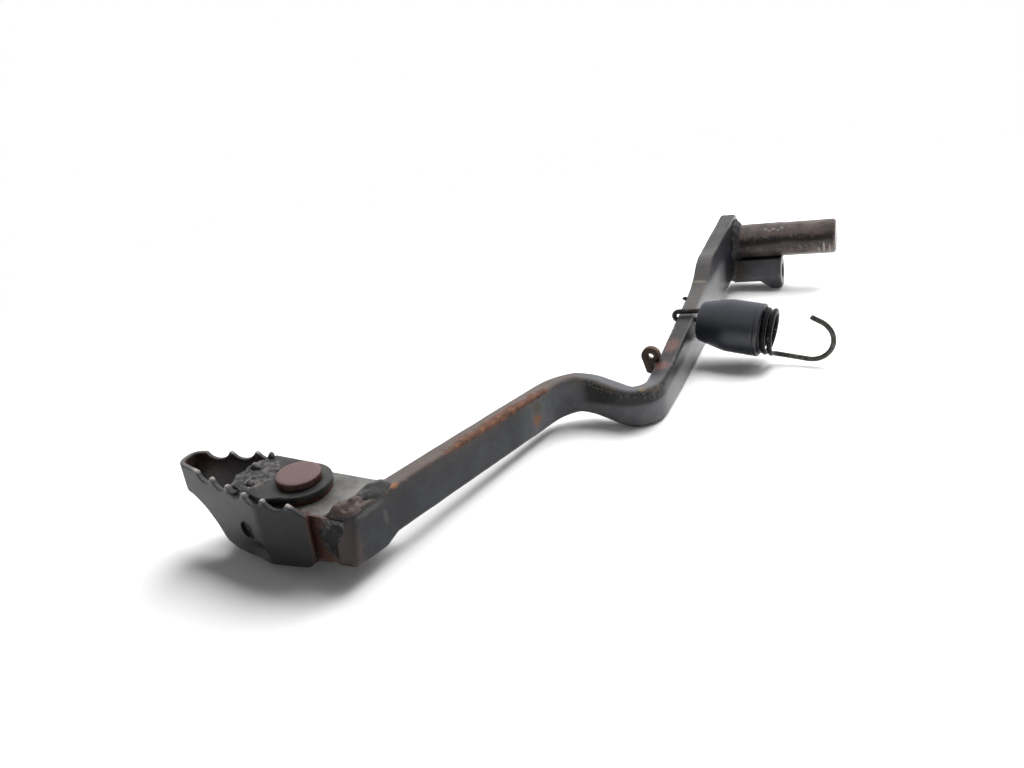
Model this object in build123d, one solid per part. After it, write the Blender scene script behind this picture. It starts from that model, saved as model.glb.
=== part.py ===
from build123d import *
import os
from math import atan2, cos, degrees, pi, radians, sin, tan

# Rear brake pedal in millimetres. The origin lies on the pivot axis, at the inner face of the arm.
# +X points inboard along the shaft, +Y to the rear and +Z up.

# Pivot shaft
shaft_r = 8.0
shaft_reach = 45.0
shaft_chamfer = 0.9
shaft_bead = 4.2
journal_r = 7.8
journal_start = 22.0

# Flat bar of the arm
bar_thickness = 6.5
bar_height = 13.7
eye_r = 14.0
eye_drop = 0.8
far_waist_y = -42.0
far_waist_bottom = -14.0
knee_rear_y = -54.0
knee_rear_top = 9.5
knee_front_y = -68.0
knee_front_top = 2.0
knee_fillet = 9.0
belly_rear_y = -74.0
belly_front_y = -88.0
belly_bottom = -19.5
straight_start_y = -126.0
far_bar_top = -5.3

# S-bend, seen from above: the bar's centre line and its two bends
far_corner_y = -152.1
near_corner = (-34.8, -144.5)
near_bend_r = 11.0
far_bend_r = 6.0

# Near arm
near_heading = 12.9
near_bar_top = -0.5
near_slope = 4.2
slope_start_y = -158.0
front_y = -246.0
front_depth = 2.0
front_chamfer = 1.6
front_rake = 3.6
front_step_y = -232.0
front_step_run = 4.0
blank_overrun = 40.0

# Boss for the brake rod
boss_flats = 14.0
boss_y = -3.0
boss_drop = 14.5
boss_reach = 21.3
boss_chamfer = 1.2
boss_neck_length = 12.0
boss_neck_cut = 4.4
rod_thread_r = 3.4
rod_thread_depth = 12.0
boss_bead = 2.4

# Stop tab on the outer face of the arm
tab_y = -126.0
tab_thickness = 2.6
tab_r = 3.4
tab_hole_r = 1.1
tab_stand_off = 2.2
tab_lift = 1.7
tab_waist = 1.4
tab_root = 6.0
tab_gap = 0.2
tab_bead = 1.6

# Toe hinge
toe_offset = 23.17
lug_inset = 8.8
toe_drop = 0.962316
toe_tilt = 6.0
lug_half = 10.2
lug_height = 16.0
lug_heel_x = 6.0
lug_heel_rise = 3.2
lug_bead_width = 6.0
lug_bead_height = 2.8
lug_bead_crown = 2.1
lug_bead_inset = 0.5
end_bead_half = 3.2
end_bead_lap = 1.6
end_bead_height = 2.0
end_bead_length = 13.0
rivet_r = 3.75
rivet_head_r = 6.4
rivet_head_height = 2.6
rivet_tail_r = 5.6
rivet_tail_height = 2.0
rivet_head_edge = 0.6
washer_r = 8.8
washer_thickness = 1.2
plate_thickness = 1.9
plate_r = 9.2
hinge_gap = 0.1
wall_gap = 0.85

# Toe tread, a serrated sheet bent into a loop; s runs outwards from the rivet axis
sheet = 2.0
tread_inner_end = 11.2
tread_straight = 6.0
tread_length = 42.5
tread_tip_half = 3.9
tread_tip_bend_r = 3.3
tread_crease_r = 8.0
tooth_top = 4.0
tooth_depth = 2.4
tooth_pitch = 7.35
tooth_land = 0.9
end_tooth_s = -5.4
front_tooth_start = 3.2
front_teeth = 5
rear_tooth_start = 13.85
rear_teeth = 4
rear_tooth_pitch = 8.05
end_top = 1.2
end_bottom = -13.0
heel_s = -9.0
heel_bottom = -15.8
belly_s = 5.0
tread_belly_bottom = -18.0
keel_start_s = 20.0
keel_end_s = 25.0
keel_bottom = -18.4
keel_rise = 1.0
sweep_mid_s = 32.0
sweep_mid_bottom = -8.7
tip_bottom = -4.4
tread_hole_r = 2.9
tread_hole_s = 12.6
tread_hole_drop = 8.9
plate_reach = 17.6
plate_lap = 1.6
tread_bead = 2.4
tread_bead_toe = 0.8

# Torsion spring in the lug
well_r = 7.6
well_depth = 9.0
toe_wire_r = 0.8
toe_spring_turns = 3
toe_spring_pitch = 2.1
toe_leg = 2.4

# Return spring and its rubber sleeve; the spring hangs straight down from its hook
spring_y = -93.0
wire_r = 0.95
hook_hole_z = -4.0
hook_hole_r = 1.5
hook_gap = 0.6
hook_overhang = -0.5
hook_tail = 3.0
coil_start = (1.6, -4.3)
coil_shift = 1.69
coil_droop = 8.4
coil_yaw = 6.0
coil_small_r = 5.4
coil_r = 8.0
coil_inset = 3.0
coil_cone_end = 11.0
coil_cover_end = 23.0
coil_pitch = 2.4
coil_open_turns = 2
coil_gap = 0.1
coil_stub_r = 0.8
free_bend_r = 2.5
free_run = 10.2
free_hook_r = 7.9
free_hook_turn = 160.0
free_tip = 4.0
sleeve_start = 0.4
sleeve_lap = 1.0
sleeve_gap = 0.1
sleeve_wall = 1.0

os.makedirs("parts", exist_ok=True)

# Places worked out from the sizes above
tall = 200.0
up = (Align.CENTER, Align.CENTER, Align.MIN)
down = (Align.CENTER, Align.CENTER, Align.MAX)
heading_tan = tan(radians(near_heading))
outer_x = -bar_thickness
bar_mid_x = -bar_thickness / 2
tab_foot = far_bar_top - tab_root
toe_axis_y = front_y + lug_inset
toe_axis_x = near_corner[0] + (toe_axis_y - near_corner[1]) * heading_tan - toe_offset
toe_axis_z = near_bar_top + (slope_start_y - front_y) * tan(radians(near_slope)) - toe_drop
toe_frame = Pos(toe_axis_x, toe_axis_y, toe_axis_z) * Rot(0, toe_tilt, 0)
plate_bottom = washer_thickness + hinge_gap
plate_top = plate_bottom + plate_thickness
lower_top = -lug_height - hinge_gap
lower_bottom = lower_top - plate_thickness
rear_wall_start = plate_reach - plate_lap
wall_inner = lug_half + wall_gap
wall_mid = wall_inner + sheet / 2
tip_mid_s = tread_length - sheet / 2
tip_mid_half = tread_tip_half - sheet / 2
wall_taper = (wall_mid - tip_mid_half) / (tip_mid_s - tread_straight)


def side_solid(outline, x_start, x_end):
    """An outline in Y and Z, drawn out from x_start to x_end."""
    return Pos(x_start, 0, 0) * extrude(Plane.YZ * outline, x_end - x_start)


def near_mid_x(y):
    """Middle of the near arm at a place along Y."""
    return near_corner[0] + (y - near_corner[1]) * heading_tan


def wall_mid_y(s):
    """Half width of the tread at its sheet's middle, s from the rivet axis."""
    return wall_mid - wall_taper * max(0.0, s - tread_straight)


def wire_along(path, radius):
    """A round wire along one edge."""
    return sweep(Plane(path @ 0, z_dir=path % 0) * Circle(radius), path)


def far_top_at(y):
    """Height of the far arm's top edge between the knee and the straight bar."""
    share = (knee_front_y - y) / (knee_front_y - straight_start_y)
    return knee_front_top + share * (far_bar_top - knee_front_top)


def near_top_at(y):
    """Height of the near arm's top edge where it slopes up to the front."""
    return near_bar_top + (slope_start_y - y) * tan(radians(near_slope))


def far_outline():
    far_bottom = far_bar_top - bar_height
    past_bend = far_corner_y - blank_overrun
    points = [
        (0, eye_r - eye_drop),
        (knee_rear_y, knee_rear_top),
        (knee_front_y, knee_front_top),
        (straight_start_y, far_bar_top),
        (past_bend, far_bar_top),
        (past_bend, far_bottom),
        (straight_start_y, far_bottom),
        (belly_front_y, belly_bottom),
        (belly_rear_y, belly_bottom),
        (far_waist_y, far_waist_bottom),
        (0, -eye_r - eye_drop),
    ]
    radii = [0, knee_fillet, knee_fillet, knee_fillet, 0, 0, 0, 0, knee_fillet, knee_fillet, 0]
    plate = make_face(FilletPolyline(*points, radius=radii, close=True))
    return plate + Pos(0, -eye_drop) * Circle(eye_r)


def near_outline():
    foot = near_top_at(front_step_y - front_step_run) - bar_height - front_depth
    past_bend = near_corner[1] + blank_overrun
    points = [
        (past_bend, near_bar_top),
        (slope_start_y, near_bar_top),
        (front_y, near_top_at(front_y)),
        (front_y - front_rake, foot + front_chamfer),
        (front_y - front_rake + front_chamfer, foot),
        (front_step_y - front_step_run, foot),
        (front_step_y, near_top_at(front_step_y) - bar_height),
        (slope_start_y, near_bar_top - bar_height),
        (past_bend, near_bar_top - bar_height),
    ]
    return make_face(Polyline(*points, close=True))


def make_arm():
    """The flat bar: its course seen from above, cut to its outline seen from the side."""
    blank_end_y = front_y - blank_overrun
    course = FilletPolyline(
        (near_mid_x(blank_end_y), blank_end_y),
        near_corner,
        (bar_mid_x, far_corner_y),
        (bar_mid_x, blank_overrun),
        radius=[near_bend_r, far_bend_r],
    )
    ribbon = Pos(0, 0, -tall / 2) * extrude(trace(course, bar_thickness), tall)
    step_start = near_corner[0] + near_bend_r / 2
    step_end = bar_mid_x - far_bend_r
    step = make_face(
        Polyline(
            (step_start, near_bar_top),
            (step_end, far_bar_top),
            (step_end, far_bar_top - bar_height),
            (step_start, near_bar_top - bar_height),
            close=True,
        )
    )
    step_solid = Pos(0, near_corner[1] + tall / 2, 0) * extrude(Plane.XZ * step, tall)
    sides = side_solid(near_outline(), -tall, step_start)
    sides = sides + side_solid(far_outline(), step_end, bar_thickness)
    arm = ribbon & (sides + step_solid)
    shaft_hole = Pos(bar_mid_x, 0, 0) * Rot(0, 90, 0) * Cylinder(shaft_r, 2 * bar_thickness)
    hook_hole = Pos(bar_mid_x, spring_y, hook_hole_z) * Rot(0, 90, 0)
    return arm - shaft_hole - hook_hole * Cylinder(hook_hole_r, 2 * bar_thickness)


def make_shaft():
    """A full root in the arm and beside the boss, then the journal that turns in the frame."""
    shaft = Cylinder(shaft_r, journal_start + bar_thickness, align=up)
    journal = Cylinder(journal_r, shaft_reach + bar_thickness, align=up)
    shaft = shaft + chamfer(journal.edges().sort_by(Axis.Z)[-1], shaft_chamfer)
    return Pos(outer_x, 0, 0) * Rot(0, 90, 0) * shaft


def make_shaft_bead():
    section = make_face(
        Polyline((shaft_r, 0), (shaft_r + shaft_bead, 0), (shaft_r, shaft_bead), close=True)
    )
    ring = revolve(Plane.XZ * section, Axis.Z)
    return Rot(0, 90, 0) * ring


def boss_blank(reach):
    """A hexagon on the boss axis, with a flat at the top and at the bottom."""
    hexagon = RegularPolygon(boss_flats / 2, 6, major_radius=False)
    return Pos(0, boss_y, -boss_drop) * extrude(Plane.YZ * hexagon, reach)


def make_boss(shaft):
    boss = boss_blank(boss_reach)
    corner_r = boss_flats / 2 / cos(radians(30))
    turned_end = Cylinder(corner_r, boss_reach, align=up)
    turned_end = chamfer(turned_end.edges().sort_by(Axis.Z)[-1], boss_chamfer)
    boss = boss & Pos(0, boss_y, -boss_drop) * Rot(0, 90, 0) * turned_end
    neck_bottom = -boss_drop - boss_flats / 2 + boss_neck_cut
    relief = make_face(
        Polyline(
            (0, neck_bottom),
            (boss_neck_length, neck_bottom),
            (boss_neck_length + boss_neck_cut, neck_bottom - boss_neck_cut),
            (0, neck_bottom - boss_neck_cut),
            close=True,
        )
    )
    boss = boss - Pos(0, boss_y + boss_flats, 0) * extrude(Plane.XZ * relief, 2 * boss_flats)
    thread = Cylinder(rod_thread_r, rod_thread_depth, align=down)
    return boss - shaft - Pos(boss_reach, boss_y, -boss_drop) * Rot(0, 90, 0) * thread


def make_boss_bead(shaft, shaft_bead_ring):
    """A sloping bead round the boss, where the arm lies behind it."""
    hexagon = RegularPolygon(boss_flats / 2 + boss_bead, 6, major_radius=False)
    foot = Pos(0, boss_y, -boss_drop) * (Plane.YZ * hexagon)
    bead = extrude(foot, boss_bead, taper=45)
    bead = bead - boss_blank(boss_reach) - shaft - shaft_bead_ring
    bead = bead & side_solid(far_outline(), 0, boss_bead)
    wide = 2 * boss_flats
    front_side = Pos(0, boss_y - boss_flats, -boss_drop) * Box(wide, wide, wide)
    return bead & front_side


def make_tab():
    """A plate across the arm's outer face, with a round head that stands above the arm."""
    head = (outer_x - tab_stand_off, far_bar_top + tab_lift)
    left = head[0] - tab_r
    foot = make_face(
        Polyline(
            (left, head[1]),
            (left + tab_waist, tab_foot + tab_waist),
            (outer_x, tab_foot),
            (outer_x, head[1]),
            close=True,
        )
    )
    profile = foot + Pos(*head) * Circle(tab_r) - Pos(*head) * Circle(tab_hole_r)
    above_arm = Pos(outer_x + tall / 2, far_bar_top + tab_gap - tall / 2) * Rectangle(tall, tall)
    plate = extrude(Plane.XZ * (profile - above_arm), tab_thickness)
    return Pos(0, tab_y + tab_thickness / 2, 0) * plate


def make_tab_bead():
    """A bead along both sides of the tab's root."""
    front = tab_y - tab_thickness / 2
    section = make_face(
        Polyline((outer_x, front), (outer_x - tab_bead, front), (outer_x, front - tab_bead), close=True)
    )
    bead = Pos(0, 0, tab_foot) * extrude(section, tab_root)
    return bead + mirror(bead, Plane.XZ.offset(-tab_y))


def make_lug(arm):
    end_front = near_mid_x(toe_axis_y - lug_half) - toe_axis_x
    end_rear = near_mid_x(toe_axis_y + lug_half) - toe_axis_x
    plan = make_face(
        Polyline(
            (0, -lug_half), (end_front, -lug_half), (end_rear, lug_half), (0, lug_half), close=True
        )
    )
    plan = plan + Circle(lug_half)
    block = Pos(0, 0, -lug_height) * extrude(plan, lug_height)
    heel = make_face(
        Polyline(
            (lug_heel_x, -lug_height),
            (end_rear, -lug_height + lug_heel_rise),
            (end_rear, -lug_height),
            close=True,
        )
    )
    block = block - Pos(0, 2 * lug_half, 0) * extrude(Plane.XZ * heel, 4 * lug_half)
    bore = Cylinder(rivet_r, 3 * lug_height)
    well = Cylinder(well_r, well_depth, align=down)
    return toe_frame * (block - bore - well) - arm


def make_lug_bead(arm):
    """A rounded bead on the lug, along the arm's outer face."""
    section = make_face(
        Polyline((-lug_bead_width, 0), (bar_thickness / 2, 0), (bar_thickness / 2, lug_bead_height))
        + ThreePointArc(
            (bar_thickness / 2, lug_bead_height),
            (-lug_bead_width / 2, lug_bead_crown),
            (-lug_bead_width, 0),
        )
    )
    half_length = lug_half - lug_bead_inset
    bead = Pos(0, half_length, 0) * extrude(Plane.XZ * section, 2 * half_length)
    face_x = near_mid_x(toe_axis_y) - bar_thickness / 2 / cos(radians(near_heading)) - toe_axis_x
    bead = toe_frame * Pos(face_x, 0, 0) * Rot(0, 0, -near_heading) * bead - arm
    return bead + make_end_bead()


def make_end_bead():
    """A low rounded bead over the top of the arm's front end, lapping over the bead on the lug."""
    top = near_top_at(front_y)
    middle = near_mid_x(front_y)
    left = (middle - end_bead_half - end_bead_lap, top)
    right = (middle + end_bead_half, top)
    crown = ((left[0] + right[0]) / 2, top + end_bead_height)
    section = make_face(Polyline(left, right) + ThreePointArc(right, crown, left))
    along = Vector(heading_tan, 1, -tan(radians(near_slope)))
    return extrude(Pos(0, front_y, 0) * (Plane.XZ * section), end_bead_length, dir=along)


def tread_blank():
    """The bent sheet before its edges are cut, front wall at -Y."""
    course = FilletPolyline(
        (tread_inner_end, -wall_mid),
        (-tread_straight, -wall_mid),
        (-tip_mid_s, -tip_mid_half),
        (-tip_mid_s, tip_mid_half),
        (-rear_wall_start, wall_mid_y(rear_wall_start)),
        radius=[tread_crease_r, tread_tip_bend_r, tread_tip_bend_r],
    )
    return Pos(0, 0, -tall / 2) * extrude(trace(course, sheet), tall)


def tread_edge():
    """Outline of the walls seen from the front."""
    lower = Polyline(
        (tread_inner_end, end_top),
        (tread_inner_end, end_bottom),
        (-heel_s, heel_bottom),
        (-belly_s, tread_belly_bottom),
        (-keel_start_s, keel_bottom),
        (-keel_end_s, keel_bottom + keel_rise),
    )
    sweep_up = ThreePointArc(
        (-keel_end_s, keel_bottom + keel_rise),
        (-sweep_mid_s, sweep_mid_bottom),
        (-tread_length - sheet, tip_bottom),
    )
    upper = Polyline(
        (-tread_length - sheet, tip_bottom),
        (-tread_length - sheet, tooth_top),
        (-end_tooth_s, tooth_top),
        (tread_inner_end, end_top),
    )
    return make_face(lower + sweep_up + upper)


def tooth_gap(start, end, y_start, y_end):
    """A round gap between two teeth, cut across one wall."""
    half_chord = (end - start - tooth_land) / 2
    gap_r = (half_chord**2 + tooth_depth**2) / (2 * tooth_depth)
    cutter = Cylinder(gap_r, y_end - y_start, align=up)
    return Pos(-(start + end) / 2, y_end, tooth_top - tooth_depth + gap_r) * Rot(90, 0, 0) * cutter


def make_tread():
    edge = Pos(0, tall / 2, 0) * extrude(Plane.XZ * tread_edge(), tall)
    tread = tread_blank() & edge
    front = [end_tooth_s] + [front_tooth_start + tooth_pitch * index for index in range(front_teeth)]
    rear = [rear_tooth_start + rear_tooth_pitch * index for index in range(rear_teeth)]
    for start, end in zip(front, front[1:]):
        tread -= tooth_gap(start, end, -2 * wall_mid, 0)
    for start, end in zip(rear, rear[1:]):
        tread -= tooth_gap(start, end, 0, 2 * wall_mid)
    hole = Pos(-tread_hole_s, -wall_mid, -tread_hole_drop) * Rot(90, 0, 0)
    return tread - hole * Cylinder(tread_hole_r, wall_mid)


def plate_plan():
    """Hinge plate: round about the rivet, then out between the walls."""
    body = make_face(
        Polyline(
            (0, -plate_r),
            (-tread_straight, -wall_mid),
            (-plate_reach, -wall_mid_y(plate_reach)),
            (-plate_reach, wall_mid_y(plate_reach)),
            (-rear_wall_start, wall_mid_y(rear_wall_start)),
            (0, plate_r),
            close=True,
        )
    )
    return body + Circle(plate_r) - Circle(rivet_r + hinge_gap)


def make_plate(bottom, blank):
    return Pos(0, 0, bottom) * extrude(plate_plan(), plate_thickness) - blank


def make_tread_bead(bottom, upward, blank):
    """A bead across the loop at the plate's end, sloping away from it."""
    slope = 1 if upward else -1
    base = bottom if upward else bottom + plate_thickness
    section = make_face(
        Polyline(
            (-plate_reach, base),
            (-plate_reach - tread_bead, base),
            (-plate_reach - tread_bead, base + slope * tread_bead_toe),
            (-plate_reach, base + slope * plate_thickness),
            close=True,
        )
    )
    strip = Pos(0, wall_mid, 0) * extrude(Plane.XZ * section, 2 * wall_mid)
    inside = make_face(
        Polyline(
            (-plate_reach, -wall_mid_y(plate_reach)),
            (-tip_mid_s, -tip_mid_half),
            (-tip_mid_s, tip_mid_half),
            (-plate_reach, wall_mid_y(plate_reach)),
            close=True,
        )
    )
    return (strip & Pos(0, 0, -tall / 2) * extrude(inside, tall)) - blank


def make_rivet():
    head_bottom = plate_top + hinge_gap
    tail_top = lower_bottom - hinge_gap
    shank = Pos(0, 0, tail_top) * Cylinder(rivet_r, head_bottom - tail_top, align=up)
    head = Cylinder(rivet_head_r, rivet_head_height, align=up)
    head = fillet(head.edges().sort_by(Axis.Z)[-1], rivet_head_edge)
    tail = Cylinder(rivet_tail_r, rivet_tail_height, align=up)
    tail = chamfer(tail.edges().sort_by(Axis.Z)[0], rivet_tail_height / 2)
    return shank + Pos(0, 0, head_bottom) * head + Pos(0, 0, tail_top - rivet_tail_height) * tail


def make_washer():
    ring = Circle(washer_r) - Circle(rivet_r)
    return extrude(ring, washer_thickness)


def make_toe_spring():
    """Coil round the rivet, standing on the floor of the well."""
    coil_mid_r = (rivet_r + well_r) / 2
    base = -well_depth + toe_wire_r
    path = Helix(toe_spring_pitch, toe_spring_pitch * toe_spring_turns, coil_mid_r)
    section = Plane(path @ 0, z_dir=path % 0) * Circle(toe_wire_r)
    coil = sweep(section, path, is_frenet=True)
    leg_path = Line(path @ 1, (path @ 1) + (path % 1) * toe_leg)
    return Pos(0, 0, base) * (coil + wire_along(leg_path, toe_wire_r))


def coil_plane():
    """Z along the coil from the arm to the free end, X upwards."""
    origin = (coil_start[0], spring_y + coil_shift, coil_start[1])
    level = Plane(origin, x_dir=(0, 0, 1), z_dir=(1, 0, 0))
    return Plane(level.location * Rot(-coil_yaw, 0, 0) * Rot(0, -coil_droop, 0))


def coil_shell(inner_offset, outer_offset, start, end):
    """A shell about the coil's middle line, narrow at the arm and full from the cone's end on."""
    section = make_face(
        Polyline(
            (coil_small_r + inner_offset, start),
            (coil_small_r + outer_offset, start),
            (coil_r + outer_offset, coil_cone_end),
            (coil_r + outer_offset, end),
            (coil_r + inner_offset, end),
            (coil_r + inner_offset, coil_cone_end),
            close=True,
        )
    )
    return coil_plane().location * revolve(Plane.XZ * section, Axis.Z)


def free_end():
    """The open turns, then a bend into line with the coil, a straight run and the free hook."""
    pitch_angle = atan2(coil_pitch, 2 * pi * coil_r)
    bend_reach = free_bend_r * tan((pi / 2 - pitch_angle) / 2)
    # The turns end short of the bottom, so that the bend brings the hook into the spring's plane
    lead = degrees(atan2(bend_reach * cos(pitch_angle), coil_r))
    first_turn = wire_r + coil_gap
    cover_end = Pos(0, 0, coil_cover_end) * Rot(0, 0, 180 - lead - 360 * coil_open_turns)
    turns = cover_end * Pos(0, 0, first_turn) * Helix(coil_pitch, coil_pitch * coil_open_turns, coil_r)
    open_turns = sweep(Plane(turns @ 0, z_dir=turns % 0) * Circle(wire_r), turns, is_frenet=True)
    across = Vector(1, 0, 0)
    along = Vector(0, 0, 1)
    leaving = turns % 1
    bend_end = turns @ 1 + (leaving + along) * bend_reach
    run_end = bend_end + along * free_run

    def hook_point(angle):
        return run_end + along * free_hook_r * sin(angle) + across * free_hook_r * (1 - cos(angle))

    turn = radians(free_hook_turn)
    bend = TangentArc(turns @ 1, bend_end, tangent=leaving)
    run = Line(bend_end, run_end)
    hook = ThreePointArc(run_end, hook_point(turn / 2), hook_point(turn))
    rise = Cylinder(coil_stub_r, first_turn, align=up)
    rise = rise + Pos(0, 0, first_turn) * Sphere(wire_r)
    wire = open_turns + cover_end * Pos(coil_r, 0, 0) * rise
    tip = Line(hook @ 1, hook @ 1 + (hook % 1) * free_tip)
    for path in (bend, run, hook, tip):
        wire = wire + wire_along(path, wire_r)
    return coil_plane().location * wire


def arm_hook():
    """Wire from the coil over the arm, round its outer edge and back through the hook hole."""
    strand_z = far_top_at(spring_y) + hook_gap + wire_r
    strand_end = coil_start[0] + coil_inset + coil_small_r * sin(radians(coil_droop)) + 2 * wire_r
    turn_x = outer_x - hook_overhang
    turn_r = (strand_z - hook_hole_z) / 2
    upper = (turn_x, spring_y, strand_z)
    lower = (turn_x, spring_y, hook_hole_z)
    side = (turn_x - turn_r, spring_y, hook_hole_z + turn_r)
    wire = wire_along(Line((strand_end, spring_y, strand_z), upper), wire_r)
    wire = wire + wire_along(ThreePointArc(upper, side, lower), wire_r)
    return wire + wire_along(Line(lower, (hook_tail, spring_y, hook_hole_z)), wire_r)


def make_return_spring():
    covered = coil_shell(-wire_r, wire_r, coil_inset, coil_cover_end)
    return covered + arm_hook() + free_end()


def make_sleeve():
    inner = wire_r + sleeve_gap
    return coil_shell(inner, inner + sleeve_wall, sleeve_start, coil_cover_end + sleeve_lap)


arm = make_arm()
shaft = make_shaft()
shaft_ring = make_shaft_bead()
boss = make_boss(shaft)
blank = tread_blank()

parts = {
    "pedal_arm": arm,
    "pivot_shaft": shaft,
    "shaft_weld": shaft_ring - boss_blank(boss_reach),
    "rod_boss": boss,
    "boss_weld": make_boss_bead(shaft, shaft_ring),
    "stop_tab": make_tab(),
    "tab_weld": make_tab_bead(),
    "toe_lug": make_lug(arm),
    "lug_weld": make_lug_bead(arm),
    "toe_tread": toe_frame * make_tread(),
    "hinge_plate_upper": toe_frame * make_plate(plate_bottom, blank),
    "hinge_plate_lower": toe_frame * make_plate(lower_bottom, blank),
    "tread_weld": toe_frame * make_tread_bead(plate_bottom, True, blank),
    "tread_weld_lower": toe_frame * make_tread_bead(lower_bottom, False, blank),
    "hinge_rivet": toe_frame * make_rivet(),
    "rivet_washer": toe_frame * make_washer(),
    "toe_spring": toe_frame * make_toe_spring(),
    "return_spring": make_return_spring(),
    "spring_sleeve": make_sleeve(),
}

for name, solid in parts.items():
    export_step(solid, f"parts/{name}.step")
    print(name, len(solid.solids()), round(solid.volume, 1))
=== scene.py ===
from types import SimpleNamespace
import bmesh
import bpy
import numpy as np
from mathutils import Matrix, Vector


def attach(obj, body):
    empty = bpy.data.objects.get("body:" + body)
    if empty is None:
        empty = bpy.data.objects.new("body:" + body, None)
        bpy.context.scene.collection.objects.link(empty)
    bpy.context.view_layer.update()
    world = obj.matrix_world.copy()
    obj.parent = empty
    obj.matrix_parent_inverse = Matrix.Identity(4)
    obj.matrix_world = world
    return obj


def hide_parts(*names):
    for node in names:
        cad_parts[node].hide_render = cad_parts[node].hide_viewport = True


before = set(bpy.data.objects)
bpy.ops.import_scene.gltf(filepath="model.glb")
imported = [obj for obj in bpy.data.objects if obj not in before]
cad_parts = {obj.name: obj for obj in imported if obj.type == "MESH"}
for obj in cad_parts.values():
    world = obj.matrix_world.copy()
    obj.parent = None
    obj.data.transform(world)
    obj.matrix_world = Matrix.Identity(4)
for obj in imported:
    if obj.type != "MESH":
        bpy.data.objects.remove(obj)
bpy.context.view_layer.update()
mm = 0.001
scene = bpy.context.scene


def valuesOf(piece):
    # a piece's dictionary, with its values to be read by name
    return SimpleNamespace(**piece)


def unit(vectors):
    # each vector divided by its length
    return vectors / np.linalg.norm(vectors, axis=-1, keepdims=True)


def lumps(points, size, seed):
    # smooth lumps: five plane waves of different directions added up, mostly between -1 and 1
    rng = np.random.default_rng(seed)
    waves = unit(rng.normal(size=(5, 3))) * rng.uniform(0.7, 1.5, (5, 1)) * 2 * np.pi / size
    phase = rng.uniform(0, 2 * np.pi, 5)
    return np.sin(points @ waves.T + phase).sum(axis=-1) / 3


def knotLine(value, knots):
    # straight lines through the knots, which are pairs of a place and a height
    return np.interp(value, *np.array(knots).T)


def softened(value, knots, reach):
    # straight lines through the knots, averaged over plus and minus reach so that the corners are round
    return knotLine(value[:, None] + np.linspace(-reach, reach, 17), knots).mean(axis=1)


def ramp(value, low, high):
    # 0 below low, 1 above high, and a smooth S between them
    share = np.clip((value - low) / (high - low), 0, 1)
    return share * share * (3 - 2 * share)


def bell(across, up, size):
    # 1 in the middle, falling off on all sides as e to the minus square of the distance over size
    return np.exp(-((across / size[0]) ** 2) - (up / size[1]) ** 2)


def filletPath(points, radii, step):
    # straight runs, with each inner corner replaced by the arc of its radius that touches both runs
    pts = np.array(points, float)
    pieces = [pts[:1]]
    for corner, radius in enumerate(radii, start=1):
        back, on = unit(pts[corner - 1] - pts[corner]), unit(pts[corner + 1] - pts[corner])
        half = np.arccos(np.clip(back @ on, -1, 1)) / 2
        middle, side = unit(back + on), unit(on - back)
        centre = pts[corner] + middle * radius / np.sin(half)
        share = np.linspace(-1, 1, 41)[:, None] * (np.pi / 2 - half)
        pieces.append(centre + radius * (-np.cos(share) * middle + np.sin(share) * side))
    line = np.vstack(pieces + [pts[-1:]])
    gone = np.r_[0, np.cumsum(np.linalg.norm(np.diff(line, axis=0), axis=1))]
    along = np.linspace(0, gone[-1], int(gone[-1] / step) + 1)
    return np.column_stack([np.interp(along, gone, line[:, axis]) for axis in range(2)])


def gridFaces(rows, columns, wrapRows, wrapColumns):
    # four neighbours of each cell of a grid, as vertex numbers
    r = np.arange(rows if wrapRows else rows - 1)[:, None]
    c = np.arange(columns if wrapColumns else columns - 1)[None, :]
    r2, c2 = (r + 1) % rows, (c + 1) % columns
    corners = [r * columns + c, r * columns + c2, r2 * columns + c2, r2 * columns + c]
    return np.stack(corners, -1).reshape(-1, 4)


def meshFrom(name, grids, marks=None):
    # joins grids of points (in mm), merges points that coincide and gives each vertex its marks
    spots, quads, start = [], [], 0
    for points, wrapRows, wrapColumns in grids:
        quads.append(gridFaces(points.shape[0], points.shape[1], wrapRows, wrapColumns) + start)
        spots.append(points.reshape(-1, 3))
        start += points.shape[0] * points.shape[1]
    spots, quads = np.vstack(spots), np.vstack(quads)
    _, first, same = np.unique(np.round(spots, 4), axis=0, return_index=True, return_inverse=True)
    quads = same.reshape(-1)[quads]
    equal = [quads[:, k] == quads[:, (k + 1) % 4] for k in range(4)]
    count = np.sum(equal, axis=0)
    faces = quads[count == 0].tolist()
    for k in range(4):
        keep = [n for n in range(4) if n != k]
        faces += quads[(count == 1) & equal[k]][:, keep].tolist()
    mesh = bpy.data.meshes.new(name)
    mesh.from_pydata((spots[first] * mm).tolist(), [], faces)
    for mark, values in (marks or {}).items():
        layer = mesh.attributes.new(mark, "FLOAT", "POINT")
        layer.data.foreach_set("value", np.asarray(values, np.float32).reshape(-1)[first])
    turned = bmesh.new()
    turned.from_mesh(mesh)
    bmesh.ops.recalc_face_normals(turned, faces=turned.faces)
    turned.to_mesh(mesh)
    turned.free()
    mesh.validate()
    mesh.polygons.foreach_set("use_smooth", np.ones(len(mesh.polygons), bool))
    return mesh


def addObject(name, data):
    made = bpy.data.objects.new(name, data)
    scene.collection.objects.link(made)
    return made


def placePiece(name, mesh, body, finish, nodes=()):
    piece = addObject(name, mesh)
    mesh.materials.clear()
    mesh.materials.append(finishes[finish])
    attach(piece, body)
    if nodes:
        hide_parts(*nodes)
    return piece


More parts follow.
